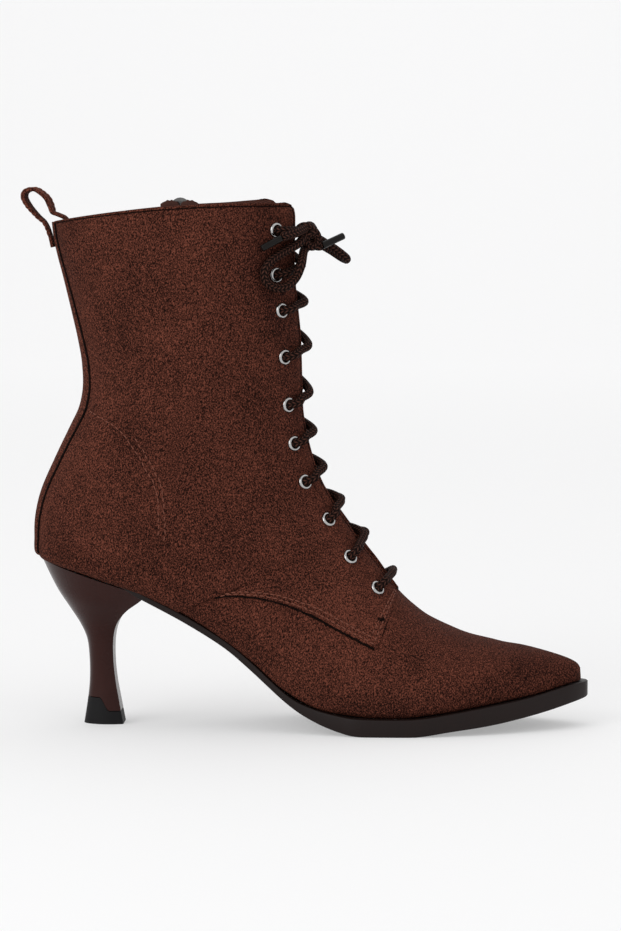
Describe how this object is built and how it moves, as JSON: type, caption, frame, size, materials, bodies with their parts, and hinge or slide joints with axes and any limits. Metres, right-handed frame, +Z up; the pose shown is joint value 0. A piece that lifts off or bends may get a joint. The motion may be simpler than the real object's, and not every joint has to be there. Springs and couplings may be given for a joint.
{
  "type": "heeled lace-up ankle boot",
  "caption": "Heeled lace-up ankle boot with pointed toe, thin waisted sole, slim flared heel, side zip and heel pull loop, worn on the right foot.",
  "frame": {"origin": "on the floor, under the middle of the boot's box", "axes": "+X towards the toe, +Y towards the inner (medial) side, +Z up"},
  "size_m": [0.2501, 0.0854, 0.2371],
  "materials": {
    "black_rubber": "matt",
    "clear_tip": "glossy",
    "eyelet_nickel": "polished",
    "heel_lacquer": "lacquered, glossy",
    "lace_braid": "braided",
    "lining_cloth": "matt",
    "sole_rubber": "satin",
    "suede": "napped, matt",
    "zip_metal": "satin"
  },
  "bodies": {
    "boot": {"back_strip": "suede", "eyelet_lateral_01": "eyelet_nickel", "eyelet_lateral_02": "eyelet_nickel", "eyelet_lateral_03": "eyelet_nickel", "eyelet_lateral_04": "eyelet_nickel", "eyelet_lateral_05": "eyelet_nickel", "eyelet_lateral_06": "eyelet_nickel", "eyelet_lateral_07": "eyelet_nickel", "eyelet_lateral_08": "eyelet_nickel", "eyelet_lateral_09": "eyelet_nickel", "eyelet_lateral_10": "eyelet_nickel", "eyelet_medial_01": "eyelet_nickel", "eyelet_medial_02": "eyelet_nickel", "eyelet_medial_03": "eyelet_nickel", "eyelet_medial_04": "eyelet_nickel", "eyelet_medial_05": "eyelet_nickel", "eyelet_medial_06": "eyelet_nickel", "eyelet_medial_07": "eyelet_nickel", "eyelet_medial_08": "eyelet_nickel", "eyelet_medial_09": "eyelet_nickel", "eyelet_medial_10": "eyelet_nickel", "heel": "heel_lacquer", "heel_tip": "black_rubber", "insole": "lining_cloth", "lace_bar": "lace_braid", "lace_cross_02": "lace_braid", "lace_cross_03": "lace_braid", "lace_cross_04": "lace_braid", "lace_cross_05": "lace_braid", "lace_cross_06": "lace_braid", "lace_cross_07": "lace_braid", "lace_cross_08": "lace_braid", "lace_cross_09": "lace_braid", "lace_end_lateral": "lace_braid", "lace_end_medial": "lace_braid", "lace_knot": "lace_braid", "lace_loop_lateral": "lace_braid", "lace_loop_medial": "lace_braid", "lace_tip_lateral": "clear_tip", "lace_tip_medial": "clear_tip", "outsole": "sole_rubber", "pull_loop": "suede", "tongue": "suede", "upper": "suede", "zip_slider": "zip_metal", "zip_tape": "lining_cloth", "zip_teeth": "zip_metal"},
    "pull_tab": {"zip_pull_tab": "zip_metal"}
  },
  "joints": [
    {"name": "pull_tab_hinge", "type": "hinge", "parent": "boot", "child": "pull_tab", "pos_m": [-0.05789, 0.04095, 0.22721], "axis": [0.9999, 0.016, 0], "range_deg": [0, 170]}
  ]
}
